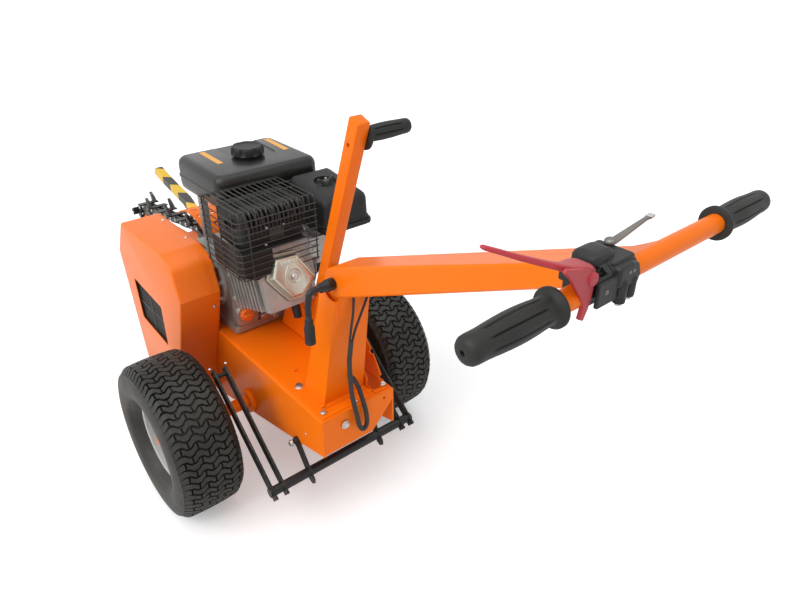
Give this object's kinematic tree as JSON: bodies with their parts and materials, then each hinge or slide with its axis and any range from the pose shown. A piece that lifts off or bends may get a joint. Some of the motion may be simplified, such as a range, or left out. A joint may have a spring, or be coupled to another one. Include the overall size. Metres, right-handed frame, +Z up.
{
  "type": "walk-behind trencher",
  "caption": "Walk-behind trencher: two-wheeled steel chassis with a petrol engine, a chain boom at the front, a lift lever and a tilting handlebar.",
  "frame": {"origin": "centre of the whole machine's box in plan, on the ground under the tyres and the front foot", "axes": "+X to the operator's right along the axle, +Y forward along the boom, +Z up"},
  "size_m": [0.769, 2.021, 1.0378],
  "materials": {
    "black_paint": "satin",
    "black_rubber": "matte",
    "cast_aluminium": "rough cast",
    "charcoal_plastic": "matte",
    "cream_zinc": "satin",
    "dark_wire": "satin",
    "hazard_paint": "satin",
    "orange_paint": "satin",
    "red_plastic": "satin",
    "steel": "satin",
    "tyre_rubber": "matte"
  },
  "bodies": {
    "chassis": {"air_filter_base": "charcoal_plastic", "air_filter_cover": "charcoal_plastic", "axle_tube": "orange_paint", "belt_guard_backplate": "black_paint", "belt_guard_cover": "black_paint", "blower_housing": "black_paint", "cable_sleeve": "black_rubber", "carburettor": "cast_aluminium", "chain_hood": "orange_paint", "chassis_frame": "orange_paint", "column": "orange_paint", "control_cable_clutch": "black_rubber", "control_cable_throttle": "black_rubber", "drive_belt": "black_rubber", "engine_block": "cast_aluminium", "final_chain": "steel", "front_foot": "orange_paint", "fuel_tank": "black_paint", "muffler": "dark_wire", "muffler_cage": "dark_wire", "recoil_housing": "black_paint", "safety_bar": "hazard_paint", "sector_plate_inner": "orange_paint", "sector_plate_outer": "orange_paint", "spark_plug_boot": "black_rubber", "upright_left": "orange_paint", "upright_right": "orange_paint", "valve_cover": "cream_zinc"},
    "wheel_left": {"tyre_left": "tyre_rubber", "rim_left": "orange_paint"},
    "wheel_right": {"tyre_right": "tyre_rubber", "rim_right": "orange_paint"},
    "rear_swing": {"rear_frame": "black_paint"},
    "engine_shaft": {"crankshaft": "steel"},
    "countershaft": {"jackshaft": "steel"},
    "idler": {"idler_arm": "steel"},
    "idler_wheel": {"idler_pulley": "black_paint"},
    "boom": {"boom_bar": "orange_paint", "digging_chain": "steel"},
    "sprocket_shaft": {"head_shaft": "steel"},
    "sprocket": {"digging_sprocket": "steel"},
    "nose": {"nose_roller": "steel"},
    "lift": {"lift_lever": "orange_paint", "lift_lever_grip": "black_rubber"},
    "latch": {"lever_latch": "steel"},
    "lift_connector": {"lift_link": "steel"},
    "handlebar": {"handlebar_beam": "orange_paint", "t_bar": "orange_paint", "grip_left": "black_rubber", "grip_right": "black_rubber", "control_housing": "charcoal_plastic"},
    "clutch": {"clutch_lever": "red_plastic"},
    "throttle": {"throttle_lever": "steel"},
    "tilt_lock": {"lock_crank": "black_paint", "lock_crank_knob": "black_rubber"},
    "starter_grip": {"recoil_grip": "black_rubber"},
    "fuel_lid": {"fuel_cap": "charcoal_plastic"},
    "oil_lid": {"oil_cap": "orange_paint"},
    "filter_nut": {"air_filter_wing_nut": "steel"},
    "ignition_switch": {"engine_switch": "charcoal_plastic"}
  },
  "joints": [
    {"name": "wheel_left_spin", "type": "hinge", "parent": "chassis", "child": "wheel_left", "pos_m": [-0.302, -0.01028, 0.203], "axis": [1, 0, 0], "continuous": true},
    {"name": "wheel_right_spin", "type": "hinge", "parent": "chassis", "child": "wheel_right", "pos_m": [0.302, -0.01028, 0.203], "axis": [1, 0, 0], "continuous": true},
    {"name": "rear_swing_tilt", "type": "hinge", "parent": "chassis", "child": "rear_swing", "pos_m": [0, -0.24828, 0.225], "axis": [1, 0, 0], "range_deg": [0, 35]},
    {"name": "engine_shaft_spin", "type": "hinge", "parent": "chassis", "child": "engine_shaft", "pos_m": [0, 0.17972, 0.49], "axis": [1, 0, 0], "continuous": true},
    {"name": "sprocket_shaft_spin", "type": "hinge", "parent": "boom", "child": "sprocket_shaft", "pos_m": [0.03, 0.40972, 0.433], "axis": [1, 0, 0], "continuous": true},
    {"name": "sprocket_spin", "type": "hinge", "parent": "boom", "child": "sprocket", "pos_m": [0.03, 0.40972, 0.433], "axis": [1, 0, 0], "continuous": true},
    {"name": "countershaft_spin", "type": "hinge", "parent": "chassis", "child": "countershaft", "pos_m": [0, 0.28972, 0.25], "axis": [1, 0, 0], "continuous": true},
    {"name": "nose_spin", "type": "hinge", "parent": "boom", "child": "nose", "pos_m": [0.03, 0.91868, 0.38847], "axis": [1, 0, 0], "continuous": true},
    {"name": "idler_swing", "type": "hinge", "parent": "chassis", "child": "idler", "pos_m": [-0.165, 0.38972, 0.53], "axis": [-1, 0, 0], "range_deg": [0, 5]},
    {"name": "idler_wheel_spin", "type": "hinge", "parent": "idler", "child": "idler_wheel", "pos_m": [-0.15, 0.33517, 0.41604], "axis": [1, 0, 0], "continuous": true},
    {"name": "lift_swing", "type": "hinge", "parent": "chassis", "child": "lift", "pos_m": [0.075, -0.01028, 0.203], "axis": [1, 0, 0], "range_deg": [0, 39]},
    {"name": "boom_swing", "type": "hinge", "parent": "chassis", "child": "boom", "pos_m": [0.03, 0.40972, 0.433], "axis": [1, 0, 0], "range_deg": [-57, 0]},
    {"name": "lift_connector_swing", "type": "hinge", "parent": "lift", "child": "lift_connector", "pos_m": [0.074, 0.03595, 0.32343], "axis": [1, 0, 0], "range_deg": [-40.56, 0]},
    {"name": "latch_slide", "type": "slide", "parent": "lift", "child": "latch", "axis": [0, 0.3518, -0.9361], "range_m": [0, 0.012], "stiffness_N_per_m": 400, "springref_m": -0.01},
    {"name": "handlebar_tilt", "type": "hinge", "parent": "chassis", "child": "handlebar", "pos_m": [0, -0.34828, 0.676], "axis": [1, 0, 0], "range_deg": [-14, 38]},
    {"name": "clutch_squeeze", "type": "hinge", "parent": "handlebar", "child": "clutch", "pos_m": [-0.131, -0.97628, 0.981], "axis": [0, -1, 0], "range_deg": [0, 20], "stiffness_Nm_per_rad": 2, "springref_deg": -17.19},
    {"name": "throttle_turn", "type": "hinge", "parent": "handlebar", "child": "throttle", "pos_m": [-0.05, -0.95728, 0.984], "axis": [0, 0, 1], "range_deg": [-25, 25]},
    {"name": "tilt_lock_turn", "type": "hinge", "parent": "chassis", "child": "tilt_lock", "pos_m": [0, -0.34828, 0.676], "axis": [1, 0, 0], "range_deg": [-45, 90]},
    {"name": "starter_pull", "type": "slide", "parent": "chassis", "child": "starter_grip", "axis": [0, 0.766, 0.6428], "range_m": [0, 0.3], "stiffness_N_per_m": 15, "springref_m": -0.3},
    {"name": "fuel_lid_turn", "type": "hinge", "parent": "chassis", "child": "fuel_lid", "pos_m": [0.08, 0.19572, 0.788], "axis": [0, 0, 1], "range_deg": [0, 90]},
    {"name": "oil_lid_turn", "type": "hinge", "parent": "chassis", "child": "oil_lid", "pos_m": [-0.045, 0.06772, 0.415], "axis": [0, 1, 0], "continuous": true},
    {"name": "filter_nut_turn", "type": "hinge", "parent": "chassis", "child": "filter_nut", "pos_m": [0.172, -0.02228, 0.745], "axis": [0, 0, 1], "continuous": true},
    {"name": "ignition_switch_turn", "type": "hinge", "parent": "chassis", "child": "ignition_switch", "pos_m": [0.06, 0.08172, 0.408], "axis": [0, 1, 0], "range_deg": [0, 60]}
  ],
  "couplings": [
    {"joint": "countershaft_spin", "follows": "sprocket_shaft_spin", "ratio": 1.9643},
    {"joint": "nose_spin", "follows": "sprocket_shaft_spin", "ratio": 1.6228},
    {"joint": "idler_swing", "follows": "clutch_squeeze", "ratio": 0.25},
    {"joint": "boom_swing", "follows": "lift_swing", "ratio": -1.4615},
    {"joint": "lift_connector_swing", "follows": "lift_swing", "ratio": -1.04}
  ]
}
